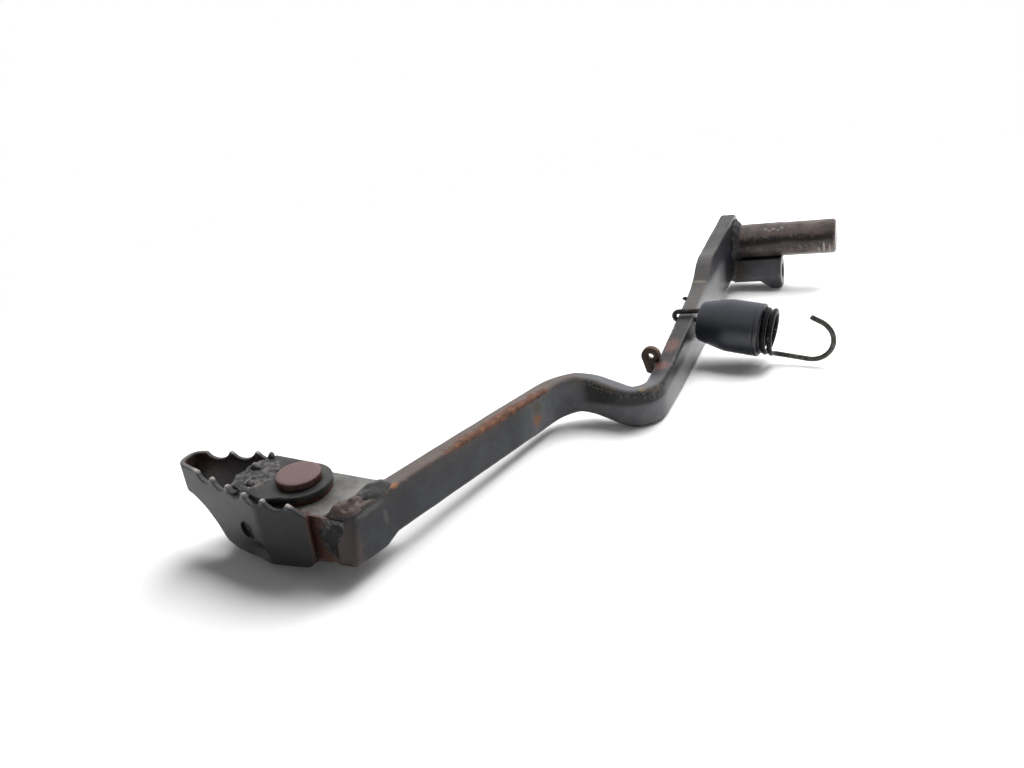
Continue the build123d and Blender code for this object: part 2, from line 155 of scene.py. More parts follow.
def sectionLoop(sides, flats):
    # one turn round a rounded rectangle, from the top of its inner side: each point's place across and up, its
    # arc offsets, and its marks for edges, the top, a band along the inner top edge and the inner side
    flat, tall = np.linspace(0.8, -0.8, flats), np.linspace(0.94, 0.06, sides)
    arcs = np.radians([0, 30, 60, 90]) + np.arange(4)[:, None] * np.pi / 2
    c, s = np.cos(arcs), np.sin(arcs)
    topBand = knotLine(flat, ((-0.8, 0.2), (-0.1, 0.6), (0.8, 1.0)))
    sideBand = np.maximum(0, tall[::-1] - 0.66) * 1.3
    stretches = [
        (1, 1, c[0], s[0], 1, s[0], 1, c[0]),
        (flat, 1, 0, 1, 0.1, 1, topBand, 0),
        (-1, 1, c[1], s[1], 1, s[1], 0, 0),
        (-1, tall, -1, 0, 0.1, 0, 0, 0),
        (-1, 0, c[2], s[2], 1, 0, 0, 0),
        (flat[::-1], 0, 0, -1, 0.1, 0, 0, 0),
        (1, 0, c[3], s[3], 1, 0, 0, c[3]),
        (1, tall[::-1], 1, 0, 0.1, 0, sideBand, 1),
    ]
    return np.hstack([np.array(np.broadcast_arrays(*stretch)) for stretch in stretches])


def endCaps(count, turn):
    # a path's rows with a few more at each end: how far each row has turned into the end's rounding, the row of
    # the path that it belongs to, and which way it leads off
    more = len(turn)
    lead = np.r_[turn, np.zeros(count), turn[::-1]]
    pick = np.r_[np.zeros(more, int), np.arange(count), np.full(more, count - 1)]
    way = np.r_[-np.ones(more), np.zeros(count), np.ones(more)]
    return lead, pick, way


def ribbon(path, half, top, bottom, edge, sides=9, flats=7):
    # a rounded rectangle carried along a path in plan: its height runs from bottom to top, its corners have
    # the radius edge, and each end shrinks over a quarter circle and closes on its middle line
    sign, share, outA, outZ, edgeMark, topMark, bandMark, innerMark = sectionLoop(sides, flats)
    tangent = unit(np.gradient(path, axis=0))
    lead, pick, way = endCaps(len(path), np.radians([90, 90, 60, 30]))
    close = np.ones((len(pick), 1))
    close[[0, -1]] = 0
    r = edge[pick]
    rounding = r * np.cos(lead)
    middle = path[pick] + tangent[pick] * (way * r * np.sin(lead))[:, None]
    normal = np.c_[tangent[pick, 1], -tangent[pick, 0]]
    across = (np.outer(half - r, sign) + np.outer(rounding, outA)) * close
    low, high = bottom[pick] + r, top[pick] - r
    height = low[:, None] + np.outer(high - low, share) + np.outer(rounding, outZ)
    grid = np.dstack([middle[:, :1] + normal[:, :1] * across, middle[:, 1:] + normal[:, 1:] * across, height])
    ones = np.ones((len(pick), 1))
    ends = np.where(lead > 0, 1.0, 0.0)[:, None]
    return grid, {
        "edge": np.maximum(ones * edgeMark, ends * 0.6), "top": (1 - ends) * topMark,
        "band": ones * bandMark, "inner": (1 - ends) * innerMark,
    }


def lathe(profile, turns=64):
    # a profile whose rows start with a radius and a height, turned about the Z axis
    angle = np.linspace(0, 2 * np.pi, turns, endpoint=False)
    r, z = np.array(profile, float).T[:2]
    return np.dstack([np.outer(r, np.cos(angle)), np.outer(r, np.sin(angle)), np.outer(z, np.ones(turns))])


def pebble(centre, radii, seed):
    # a ball with its own radius along each axis, and lumps on it
    angle = np.linspace(-np.pi / 2, np.pi / 2, 15)
    ball = lathe(np.c_[np.cos(angle), np.sin(angle)], 20)
    ball = ball * (1 + 0.12 * lumps(ball, 1.6, seed))[..., None]
    return ball * np.array(radii) + np.array(centre)


def mound(corners, up, crown, sink, size, seed, rows=54, columns=34):
    # a patch between four corners, rounded off in plan: it rises from a wavering rim as a dome in u and v, with
    # lumps of two sizes on it, and a shallow underside closes it
    u, v = np.linspace(-1, 1, rows)[:, None, None], np.linspace(-1, 1, columns)[None, :, None]
    a, b, c, d = np.array(corners, float)
    p, q = u * np.sqrt(1 - 0.35 * v**2), v * np.sqrt(1 - 0.35 * u**2)
    spots = ((1 - p) * ((1 - q) * a + (1 + q) * b) + (1 + p) * ((1 - q) * d + (1 + q) * c)) / 4
    middle = (a + b + c + d) / 4
    spots = middle + (spots - middle) * (1 + 0.1 * lumps(spots, 2.2 * size, seed + 2))[..., None]
    swell = ((1 - u**2) * (1 - v**2))[..., 0]
    rise = 0.84 + 0.2 * lumps(spots, 1.7 * size, seed) + 0.09 * lumps(spots, 0.7 * size, seed + 1)
    up = np.array(up, float)
    upper = spots + (crown * swell**0.5 * np.maximum(rise, 0.15))[..., None] * up
    lower = spots - (sink * swell)[..., None] * up
    return [(upper, False, False), (lower, False, False)]


def tube(path, outward, radius, around):
    # a circle carried along a path; outward is a direction across the path that changes smoothly along it
    tangent = unit(np.gradient(path, axis=0))
    outward = unit(outward - tangent * np.sum(outward * tangent, axis=1)[:, None])
    beside = np.cross(tangent, outward)
    lead, pick, way = endCaps(len(path), np.radians([90, 60, 30]))
    angle = np.linspace(0, 2 * np.pi, around, endpoint=False)[None, :, None]
    ring = (radius * np.cos(lead))[:, None, None]
    middle = path[pick] + tangent[pick] * (way * radius * 0.5 * np.sin(lead))[:, None]
    spokes = outward[pick][:, None, :] * np.cos(angle) + beside[pick][:, None, :] * np.sin(angle)
    return middle[:, None, :] + spokes * ring


def straightRun(start, end, count):
    share = np.linspace(0, 1, count)[:, None]
    return np.array(start) + share * (np.array(end) - np.array(start))


softEdge = dict(joinDistance=2e-6, flatAngle=0.01, sharpAngle=28, segments=3)


def softCopy(name, node, body, finish, width):
    # the CAD solid's own shape with its sharp edges rounded
    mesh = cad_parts[node].data.copy()
    shape = bmesh.new()
    shape.from_mesh(mesh)
    bmesh.ops.remove_doubles(shape, verts=shape.verts, dist=softEdge["joinDistance"])
    bmesh.ops.dissolve_limit(shape, angle_limit=softEdge["flatAngle"], verts=shape.verts, edges=shape.edges)
    shape.to_mesh(mesh)
    shape.free()
    mesh.polygons.foreach_set("use_smooth", np.ones(len(mesh.polygons), bool))
    piece = placePiece(name, mesh, body, finish, (node,))
    rounding = piece.modifiers.new("rounding", "BEVEL")
    rounding.width = width * mm
    rounding.segments = softEdge["segments"]
    rounding.limit_method = "ANGLE"
    rounding.angle_limit = np.radians(softEdge["sharpAngle"])
    rounding.harden_normals = True
    rounding.use_clamp_overlap = True


toeTilt = np.radians(6.0)
toeTurn = np.array([[np.cos(toeTilt), 0, np.sin(toeTilt)], [0, 1, 0], [-np.sin(toeTilt), 0, np.cos(toeTilt)]])
toeAxis = np.array([-79.2015, -237.2, 5.0])
toeUp = toeTurn[:, 2]


def onToe(points):
    # points given in the leaning frame of the toe's hinge
    return np.asarray(points, float) @ toeTurn.T + toeAxis


def setSockets(tree, node, sockets):
    # links a socket that is given another socket, and sets one that is given a value
    for key, value in sockets.items():
        if isinstance(value, bpy.types.NodeSocket):
            tree.links.new(value, node.inputs[key])
        else:
            node.inputs[key].default_value = value


def addNode(tree, kind, sockets=None, **settings):
    made = tree.nodes.new(kind)
    for key, value in settings.items():
        setattr(made, key, value)
    setSockets(tree, made, sockets or {})
    return made


def mathNode(tree, operation, a, b, clamp=False):
    return addNode(tree, "ShaderNodeMath", {0: a, 1: b}, operation=operation, use_clamp=clamp).outputs[0]


def times(tree, a, b, clamp=False):
    return mathNode(tree, "MULTIPLY", a, b, clamp)


def plusTimes(tree, base, value, factor, clamp=False):
    # base plus value times factor
    return mathNode(tree, "ADD", base, times(tree, value, factor), clamp)


def mixColour(tree, share, a, b, blend="MIX"):
    return addNode(
        tree, "ShaderNodeMix", {0: share, 6: a, 7: b}, data_type="RGBA", blend_type=blend, clamp_factor=True
    ).outputs[2]


def noise(tree, where, scale, detail, rough, twist=0.0):
    sockets = {"Vector": where, "Scale": scale, "Detail": detail, "Roughness": rough, "Distortion": twist}
    return addNode(tree, "ShaderNodeTexNoise", sockets).outputs["Fac"]


def between(tree, value, low, high):
    sockets = {"Value": value, "From Min": low, "From Max": high}
    return addNode(tree, "ShaderNodeMapRange", sockets, interpolation_type="SMOOTHSTEP").outputs[0]


def newGroup(name, vectors, numbers, outputs):
    # takes in vectors and then numbers; the output Colour is a colour, and the others are numbers
    tree = bpy.data.node_groups.new(name, "ShaderNodeTree")
    for label in vectors + numbers:
        kind = "NodeSocketVector" if label in vectors else "NodeSocketFloat"
        tree.interface.new_socket(label, in_out="INPUT", socket_type=kind)
    for label in outputs:
        kind = "NodeSocketColor" if label == "Colour" else "NodeSocketFloat"
        tree.interface.new_socket(label, in_out="OUTPUT", socket_type=kind)
    return tree, tree.nodes.new("NodeGroupInput").outputs, tree.nodes.new("NodeGroupOutput").inputs


rustBrowns = ((0.32, (0.035, 0.018, 0.013)), (0.54, (0.115, 0.05, 0.031)), (0.74, (0.25, 0.105, 0.052)))


def makeRustGroup():
    # rust: patches of noise that grow with Amount and along marked edges, in three browns
    tree, given, out = newGroup("rustBloom", ["Where"], ["Size", "Amount", "Edge"], ["Mask", "Colour", "Height"])
    broad = noise(tree, given["Where"], given["Size"], 6.0, 0.68, 0.4)
    fine = noise(tree, given["Where"], times(tree, given["Size"], 6.0), 4.0, 0.7)
    field = plusTimes(tree, times(tree, broad, 0.66), fine, 0.34)
    field = plusTimes(tree, field, given["Edge"], 0.12)
    start = plusTimes(tree, 0.78, given["Amount"], -0.5)
    tree.links.new(between(tree, mathNode(tree, "SUBTRACT", field, start), -0.04, 0.08), out["Mask"])
    tone = noise(tree, given["Where"], times(tree, given["Size"], 3.1), 5.0, 0.7)
    browns = addNode(tree, "ShaderNodeValToRGB", {"Fac": tone})
    stops = browns.color_ramp.elements
    stops.new(0.5)
    for stop, (place, brown) in zip(stops, rustBrowns):
        stop.position, stop.color = place, (*brown, 1)
    tree.links.new(browns.outputs["Color"], out["Colour"])
    tree.links.new(fine, out["Height"])
    return tree


def makeChipGroup():
    # chips and specks: small cells of a noise that rise above a level set by Amount
    tree, given, out = newGroup("paintChips", ["Where"], ["Size", "Amount", "Edge"], ["Mask"])
    speck = noise(tree, given["Where"], given["Size"], 3.0, 0.75)
    patch = noise(tree, given["Where"], times(tree, given["Size"], 0.13), 3.0, 0.6)
    field = plusTimes(tree, times(tree, speck, 0.6), patch, 0.4)
    field = plusTimes(tree, field, given["Edge"], 0.1)
    start = plusTimes(tree, 0.76, given["Amount"], -0.4)
    tree.links.new(between(tree, mathNode(tree, "SUBTRACT", field, start), 0.0, 0.03), out["Mask"])
    return tree


def makeStainGroup():
    # one stain: full inside an oval body about Centre, with a rim that noise makes ragged
    tree, given, out = newGroup("stainSpot", ["Where", "Centre", "Size"], ["Grain"], ["Mask"])
    away = addNode(tree, "ShaderNodeVectorMath", {0: given["Where"], 1: given["Centre"]}, operation="SUBTRACT")
    scaled = addNode(tree, "ShaderNodeVectorMath", {0: away.outputs[0], 1: given["Size"]}, operation="DIVIDE")
    length = addNode(tree, "ShaderNodeVectorMath", {0: scaled.outputs[0]}, operation="LENGTH").outputs["Value"]
    ragged = mathNode(tree, "SUBTRACT", noise(tree, given["Where"], given["Grain"], 4.0, 0.7), 0.5)
    rim = between(tree, plusTimes(tree, length, ragged, 2.4), 0.65, 1.15)
    tree.links.new(mathNode(tree, "SUBTRACT", 1.0, rim), out["Mask"])
    return tree


rustBloom = makeRustGroup()
paintChips = makeChipGroup()
stainSpot = makeStainGroup()


def useGroup(tree, group, sockets):
    return addNode(tree, "ShaderNodeGroup", sockets, node_tree=group).outputs


def markOf(tree, name):
    return addNode(tree, "ShaderNodeAttribute", attribute_name=name).outputs["Fac"]


wear = dict(
    depth=0.86, gloss=0.8, ruggedChips=0.45, chipDepth=0.4, stainGrain=(700, 1600),
    rustRough=0.3, ruggedRough=0.2, mottleRough=0.16,
)


def wornMetal(name, look, wear):
    # base colour with mottling, then the piece's marks, chips, rust and single stains, each over the one before
    material = bpy.data.materials.new(name)
    material.use_nodes = True
    tree = material.node_tree
    shader = next(n for n in tree.nodes if n.type == "BSDF_PRINCIPLED")
    where = tree.nodes.new("ShaderNodeTexCoord").outputs["Object"]
    mottle = noise(tree, where, look.mottleSize, 5.0, 0.65)
    colour = mixColour(tree, between(tree, mottle, 0.3, 0.7), (*look.dark, 1), (*look.light, 1))
    uneven = plusTimes(tree, 0.45, noise(tree, where, look.mottleSize * 3.3, 5.0, 0.7), 1.1)
    for mark, tint, share in look.marks:
        amount = times(tree, times(tree, markOf(tree, mark), share), uneven, True)
        colour = mixColour(tree, amount, colour, (*tint, 1))
    ruggedAndSheen = markOf(tree, "ruggedAndSheen")
    chips = useGroup(tree, paintChips, {
        "Where": where, "Size": look.chipSize, "Amount": look.chips,
        "Edge": plusTimes(tree, markOf(tree, "edge"), ruggedAndSheen, wear.ruggedChips)})["Mask"]
    chipped = times(tree, chips, look.chipShare)
    colour = mixColour(tree, chipped, colour, (*look.chipColour, 1))
    rust = useGroup(tree, rustBloom, {
        "Where": where, "Size": look.rustSize, "Amount": look.rust,
        "Edge": times(tree, markOf(tree, look.rustMark), look.rustEdge)})
    colour = mixColour(tree, rust["Mask"], colour, rust["Colour"])
    coarsest, finest = wear.stainGrain
    for centre, size, tint, share in look.stains:
        mask = useGroup(tree, stainSpot, {
            "Where": where, "Centre": [c * mm for c in centre], "Size": [c * mm for c in size],
            "Grain": max(coarsest, finest / min(size))})["Mask"]
        colour = mixColour(tree, times(tree, mask, share), colour, (*tint, 1))
    rough = plusTimes(tree, look.rough, rust["Mask"], wear.rustRough)
    rough = plusTimes(tree, rough, ruggedAndSheen, wear.ruggedRough)
    rough = plusTimes(tree, rough, mottle, wear.mottleRough, True)
    height = plusTimes(tree, noise(tree, where, look.grainSize, 3.0, 0.6), rust["Height"], rust["Mask"])
    height = plusTimes(tree, height, chips, -wear.chipDepth)
    colour = mixColour(tree, 1.0, colour, (*[wear.depth] * 3, 1), "MULTIPLY")
    relief = {"Strength": look.bump, "Distance": look.bumpDepth * mm, "Height": height}
    bump = addNode(tree, "ShaderNodeBump", relief)
    setSockets(tree, shader, {
        "Base Color": colour, "Roughness": rough, "Normal": bump.outputs["Normal"], "Metallic": look.metal,
        "Specular IOR Level": look.gloss * wear.gloss})
    return material


# each mark has a colour and a share, and each stain a centre and a size in mm, a colour and a share
looks = {}
looks["armPaint"] = dict(
    dark=(0.007, 0.008, 0.011), light=(0.023, 0.025, 0.032), mottleSize=90,
    marks=[
        # top and topFar: the top faces lighter and browner, part dust and part painted light from above
        ("top", (0.09, 0.075, 0.069), 0.95), ("topFar", (0.07, 0.067, 0.065), 0.95),
        # ruggedAndSheen: the bend is rougher and more chipped, and its lighter colour is a painted reflection of
        # the pale floor
        ("band", (0.11, 0.062, 0.044), 0.45), ("ruggedAndSheen", (0.125, 0.128, 0.138), 0.85),
        # innerSheen: lighter grey on the far arm's inner side, a painted sheen
        ("innerSheen", (0.235, 0.235, 0.238), 1), ("grime", (0.012, 0.013, 0.014), 1.3),
    ],
    chipColour=(0.13, 0.11, 0.095), chipSize=1200, chips=0.26, chipShare=0.7,
    rustSize=120, rust=0.08, rustMark="band", rustEdge=3.5,
    stains=[
        ((-37, -168.7, -8.1), (1.7, 2.4, 2.2), (0.22, 0.1, 0.05), 0.8),  # rust spot on the inner side
        ((-36.7, -167.5, -4), (1.7, 2.2, 2.6), (0.095, 0.08, 0.05), 0.75),
        ((-52.7, -237.1, -1.8), (1.4, 0.9, 2.4), (0.075, 0.073, 0.07), 0.6),  # scuff by the lug
        ((-51.7, -231.2, 4.8), (1.3, 1.6, 1), (0.24, 0.105, 0.045), 0.85),  # orange spot by the weld
        ((-4.2, -131, -5.4), (3, 4.2, 2), (0.125, 0.05, 0.04), 0.65),  # brown spots by the tab
        ((-3.6, -116, -4), (2.6, 5.5, 2), (0.145, 0.07, 0.058), 0.6),
        ((-3.2, -66, 3), (3.6, 0.7, 2), (0.22, 0.19, 0.145), 0.6),  # scratch across the knee
        ((-5.8, -149.9, -5.3), (1.4, 1.4, 1.6), (0.2, 0.155, 0.075), 0.65),
        ((0, -93, -4), (1.2, 2.3, 2.3), (0.004, 0.004, 0.005), 0.9),  # painted shade: a dark ring round the hook's wire where its hole is
        ((-53.6, -241.5, 3.2), (1.6, 6.5, 0.9), (0.1, 0.092, 0.088), 0.6),
        ((-57.5, -249, -5), (6, 2.8, 13), (0.062, 0.04, 0.034), 0.7),  # rust on the front end
    ],
    grainSize=900, rough=0.24, bump=0.3, bumpDepth=0.16, gloss=0.36, metal=0,
)
plainLook = dict(looks["armPaint"], marks=[], stains=[], rustMark="edge", rustEdge=0.0)
looks["lugPaint"] = dict(
    plainLook, dark=(0.07, 0.069, 0.067), light=(0.19, 0.185, 0.18), rust=0.2, rough=0.4,
    stains=[
        ((-72, -247.6, -2.5), (12, 2.6, 9), (0.062, 0.023, 0.016), 0.92),
        ((-62.5, -248, -3), (3.6, 2.6, 5.6), (0.006, 0.006, 0.008), 0.95),
        ((-66, -247.8, -9), (4, 2.6, 3), (0.095, 0.034, 0.019), 0.7),
    ])
looks["bossPaint"] = dict(
    plainLook, dark=(0.082, 0.084, 0.093), light=(0.12, 0.122, 0.134), rust=0.1, rough=0.32,
    stains=[
        ((2, -10, -12.5), (5, 7, 8), (0.085, 0.072, 0.064), 0.8),  # bare neck by the arm
        ((21, -3, -14.5), (1.5, 12, 12), (0.085, 0.085, 0.088), 0.8),  # worn end
    ])
looks["treadMetal"] = dict(
    plainLook, dark=(0.007, 0.007, 0.009), light=(0.016, 0.016, 0.019),
    marks=[
        # rubbedAndLit: outer faces lighter, from rubbed wear and from painted light on the faces turned to the
        # lamp
        ("rubbedAndLit", (0.058, 0.057, 0.058), 0.95), ("inner", (0.026, 0.017, 0.016), 0.95),
        # top: the sheet's top edges a little lighter, painted light from above
        ("top", (0.1, 0.098, 0.096), 0.2), ("tip", (0.42, 0.41, 0.39), 0.7),
        # dent: painted shade below the dent in the front wall
        ("rusty", (0.048, 0.019, 0.013), 0.9), ("dent", (0.003, 0.003, 0.004), 1.2),
    ],
    chips=0.24, chipColour=(0.14, 0.135, 0.13), rust=0.16, rustEdge=0.2, rough=0.36,
    stains=[(onToe((-36, 0, 0)), (5, 4.5, 5), (0.095, 0.05, 0.038), 0.7)])
looks["plateMetal"] = dict(
    looks["treadMetal"], dark=(0.022, 0.022, 0.022), light=(0.05, 0.049, 0.048), marks=[], stains=[], chips=0.34,
    rust=0.12)
pitGrey, bareSteel = (0.32, 0.29, 0.28), (0.5, 0.46, 0.43)
looks["brownSteel"] = dict(
    plainLook, dark=(0.02, 0.013, 0.012), light=(0.13, 0.098, 0.092), chipColour=(0.26, 0.235, 0.225),
    chipSize=900, rust=0.3, rustEdge=0.2, rough=0.22, metal=0.2, gloss=0.65, bumpDepth=0.3,
    stains=[
        ((24, -8.4, 0.6), (30, 2.6, 3.6), (0.01, 0.005, 0.005), 0.9),  # a dark band along the middle of the front: painted shade, part of it the steel's own dark rust
        ((15, -4.6, 6.5), (0.8, 0.9, 0.7), pitGrey, 0.55),
        ((16.6, -5.5, 5.8), (0.7, 0.7, 0.6), pitGrey, 0.55),
        ((18.4, -4.8, 6.4), (1, 0.8, 0.6), pitGrey, 0.55),
        ((20.4, -5.4, 5.9), (0.6, 0.7, 0.6), pitGrey, 0.55),
        ((22, -4.4, 6.7), (0.9, 0.7, 0.7), pitGrey, 0.5),
        ((17.2, -6.4, 4.8), (2.6, 1, 0.9), (0.12, 0.075, 0.06), 0.5),
        ((38, -7.2, -4.4), (0.3, 2, 2), bareSteel, 0.6),  # scratches by the end
        ((40.2, -7.2, -3.4), (0.5, 2, 3.2), bareSteel, 0.6),
        ((42.6, -7.2, -4.2), (0.3, 2, 3), bareSteel, 0.6),
    ])
looks["tabRust"] = dict(plainLook, dark=(0.05, 0.028, 0.021), light=(0.1, 0.06, 0.047), rust=0.36, rough=0.45)
looks["washerRust"] = dict(looks["tabRust"], dark=(0.055, 0.017, 0.012), light=(0.11, 0.036, 0.025), rust=0.3)
looks["rivetRust"] = dict(
    plainLook, dark=(0.034, 0.014, 0.012), light=(0.058, 0.024, 0.021), mottleSize=300,
    marks=[("top", (0.15, 0.102, 0.099), 1)], chips=0.12, chipColour=(0.22, 0.17, 0.15), rust=0, rough=0.55)
looks["weldMetal"] = dict(
    plainLook, dark=(0.02, 0.02, 0.02), light=(0.125, 0.118, 0.116), chips=0.36, chipColour=(0.36, 0.33, 0.32),
    chipSize=900, rust=0.16, rough=0.42, mottleSize=520, bump=0.4, bumpDepth=0.5, grainSize=700,
    stains=[
        ((-59.5, -244, 6.6), (8, 6, 5), (0.095, 0.052, 0.042), 0.5),  # brown lumps over the arm's end
        ((-55.5, -235, 7), (6, 6, 4), (0.024, 0.023, 0.023), 0.9),  # dark lump behind them
        ((-62, -249, -2.6), (6, 3, 8.2), (0.004, 0.004, 0.006), 0.97),  # black patch in front
        ((2, 0, 0), (6, 15, 15), (0.009, 0.009, 0.011), 0.9),  # painted ring round the shaft
        ((-60.7, -243.3, 7.6), (0.5, 0.5, 1.2), (0.75, 0.7, 0.66), 0.8),  # bright specks
        ((-55.7, -242.6, 7.6), (0.4, 0.4, 1.2), (0.75, 0.7, 0.66), 0.8),
        ((-64.4, -247, 5), (0.6, 0.6, 1.2), (0.7, 0.64, 0.6), 0.8),
    ])
looks["springWire"] = dict(
    plainLook, dark=(0.04, 0.038, 0.035), light=(0.1, 0.095, 0.086), mottleSize=500, metal=0.7, rough=0.34,
    # coilShade: painted shade, full on the coil's turns and a lighter share (heldShade) on the held end
    marks=[("coilShade", (0.012, 0.012, 0.014), 1.4)], chips=0.36, chipColour=(0.6, 0.57, 0.5), chipSize=1000,
    rust=0.12)
looks["sleeveRubber"] = dict(
    plainLook, dark=(0.01, 0.0125, 0.02), light=(0.018, 0.0215, 0.034), chips=0.02, chipShare=0.4,
    chipColour=(0.05, 0.05, 0.05), rust=0, rough=0.3, bump=0.08, gloss=0.75)

finishes = {name: wornMetal(name, valuesOf(look), valuesOf(wear)) for name, look in looks.items()}
print("finishes made")


armBar = dict(
    thickness=6.5, height=13.7, frontY=-246, rake=3.6, step=0.8, soft=4,
    stepY=-232, stepRun=4, stepDepth=2,
    nearCorner=(-34.8, -144.5), farCornerY=-152.1, nearBend=15, farBend=8, heading=12.9,
    nearTop=-0.5, nearSlope=4.2, slopeStartY=-158, farTop=-5.3, linkX=(-29.3, -9.25),
    eyeR=14, eyeDrop=0.8, eyeTrim=0.44, eyeTurn=(2, 87), eyeRows=28,
    edgeNear=0.9, edgeBend=1.9, edgeShare=0.3, bendY=-150, bendReach=16, bendX=(-42, -30),
    shearY=-222, shearX=-40, skin=0.992, skinDepth=0.007, skinLump=13,
    topKnots=((-200, -5.3), (-126, -5.3), (-68, 2), (-54, 9.5), (0, 13.2)),
    bottomKnots=((-200, -19), (-126, -19), (-88, -19.5), (-74, -19.5), (-42, -14), (0, -14.8)),
    rustAlong=((-246, 0.3), (-238, 0.5), (-228, 0.32), (-208, 0.6), (-195, 0.95), (-172, 1), (-158, 0.6),
               (-148, 0.25), (-60, 0.12)),
    topFarAlong=((-150, 0.05), (-104, 0.15), (-84, 0.9), (-54, 1), (-34, 0.1)),
    grimeAlong=((-158, 0), (-146, 1), (-106, 0.9), (-98, 0)), grimeZ=(-11.5, -9.5),
    dustAlong=((-150, 0), (-132, 0.6), (-92, 0.9), (-48, 1), (-26, 0)), dustDepth=(-3, 1),
    ruggedStart=(-182, -166), ruggedEnd=(-146, -136), nearReach=(22, 32),
    burr=((-6.8, -78, 0.3), (1, 0.8, 0.8)),
)


def makeArm(b):
    # a bar carried along its bends: the near arm climbs, the link blends the heights, and the far arm follows
    # its knots and ends in a round eye
    lean, slope = np.tan(np.radians([b.heading, b.nearSlope]))
    middleX = -b.thickness / 2
    cornerX, cornerY = b.nearCorner
    frontX = cornerX + (b.frontY - cornerY) * lean
    path = filletPath(
        [(frontX, b.frontY), b.nearCorner, (middleX, b.farCornerY), (middleX, 0)],
        [b.nearBend, b.farBend], b.step)
    eyeY = b.eyeR * np.sin(np.radians(np.linspace(*b.eyeTurn, b.eyeRows)))
    path = np.vstack([path[1:], np.c_[np.full(b.eyeRows, middleX), eyeY]])
    x, y = path.T
    nearTop = b.nearTop + np.maximum(0, b.slopeStartY - y) * slope
    step = np.interp(y, [b.stepY - b.stepRun, b.stepY], [b.stepDepth, 0])
    linkTop = np.interp(x, b.linkX, (b.nearTop, b.farTop))
    near, far = x < b.linkX[0], x > b.linkX[1]
    ring = np.sqrt(np.maximum(b.eyeR**2 - y**2, 0))
    farTop = np.where(y > 0, ring - b.eyeDrop, softened(y, b.topKnots, b.soft))
    farBottom = np.where(y > 0, -ring - b.eyeDrop, softened(y, b.bottomKnots, b.soft))
    top = np.where(near, nearTop, np.where(far, farTop, linkTop))
    bottom = np.where(near, nearTop - b.height - step, np.where(far, farBottom, linkTop - b.height))
    bend = np.exp(-(((y - b.bendY) / b.bendReach) ** 2)) * ramp(x, *b.bendX)
    edge = b.edgeNear + (b.edgeBend - b.edgeNear) * bend
    edge = np.minimum(edge, (top - bottom) * b.edgeShare)
    path[:, 1] -= b.eyeTrim * np.clip(y / b.eyeR, 0, 1) ** 6  # room for the rounding at the eye's end
    grid, marks = ribbon(path, b.thickness / 2, top, bottom, edge)
    # the near end is cut along a raked front face, so the last stretch is sheared onto it
    ahead = np.clip((b.shearY - grid[..., 1]) / (b.shearY - b.frontY), 0, 1.2)
    ahead = np.where(grid[..., 0] < b.shearX, ahead, 0)
    frontTop = b.nearTop + (b.slopeStartY - b.frontY) * slope
    across = grid[..., 0] - (cornerX + (grid[..., 1] - cornerY) * lean)
    squared = across * lean * np.cos(np.radians(b.heading)) ** 2
    slide = ahead * (squared - b.rake * (frontTop - grid[..., 2]) / b.height)
    grid[..., 1] += slide
    grid[..., 0] += slide * lean
    # forged skin: each section is drawn in a little, more in some places than in others
    middle = grid.mean(axis=1, keepdims=True)
    grid = middle + (grid - middle) * (b.skin + b.skinDepth * lumps(grid, b.skinLump, 41))[..., None]
    rowY, z = grid[..., 1].mean(axis=1)[:, None], grid[..., 2]
    nearArm = ramp(-grid[..., 0].mean(axis=1), *b.nearReach)[:, None]
    # top and topFar lighten the top faces: dust, and painted light from above
    marks["topFar"] = marks["top"] * (1 - nearArm) * knotLine(rowY, b.topFarAlong)
    marks["top"] = marks["top"] * nearArm
    marks["grime"] = marks["inner"] * (1 - nearArm) * knotLine(rowY, b.grimeAlong) * ramp(z, *b.grimeZ)
    # the bend's forged stretch: rougher and chipped, and lighter as a painted reflection of the floor
    marks["ruggedAndSheen"] = ramp(rowY, *b.ruggedStart) * (1 - ramp(rowY, *b.ruggedEnd)) * (1 - marks["top"])
    marks["band"] = marks["band"] * knotLine(rowY, b.rustAlong)
    # painted sheen: the far arm's inner side lighter grey
    marks["innerSheen"] = marks["inner"] * knotLine(rowY, b.dustAlong) * ramp(-z, *b.dustDepth)
    mesh = meshFrom("armBar", [(grid, False, True)], marks)
    placePiece("armBar", mesh, "arm", "armPaint", ("pedal_arm",))
    burr = meshFrom("edgeBurr", [(pebble(*b.burr, 43), False, True)])
    placePiece("edgeBurr", burr, "arm", "armPaint")


makeArm(valuesOf(armBar))
print("arm made")


shaftTurning = dict(
    r=8, journalR=7.8, journalStart=22, reach=45, chamfer=0.9, back=-6.5,
    turns=72, sharpAngle=50,
)


def makeShaft(b):
    # rings turned about X, each with its radius, its height and its mark for edges
    r, journalR, start = b.r, b.journalR, b.journalStart
    back, reach, chamfer = b.back, b.reach, b.chamfer
    rings = np.array([
        (0, back, 0), (r - 0.9, back, 0.3), (r - 0.25, back + 0.25, 1), (r, back + 0.8, 0.3),
        (r, 6, 0), (r, 14, 0), (r, start - 0.2, 0.3), (r - 0.05, start, 0.6), (journalR, start + 0.2, 0.3),
        (journalR, 30, 0), (journalR, 38, 0), (journalR, reach - chamfer - 0.15, 0.3),
        (journalR - 0.1, reach - chamfer + 0.1, 1), (journalR - chamfer + 0.1, reach - 0.1, 1),
        (journalR - chamfer - 0.15, reach, 0.3), (3, reach, 0), (0, reach, 0),
    ])
    grid = lathe(rings, b.turns)[..., [2, 0, 1]]
    marks = {"edge": np.outer(rings[:, 2], np.ones(b.turns))}
    mesh = meshFrom("shaftTurning", [(grid, False, True)], marks)
    mesh.set_sharp_from_angle(angle=np.radians(b.sharpAngle))
    placePiece("shaftTurning", mesh, "arm", "brownSteel", ("pivot_shaft",))


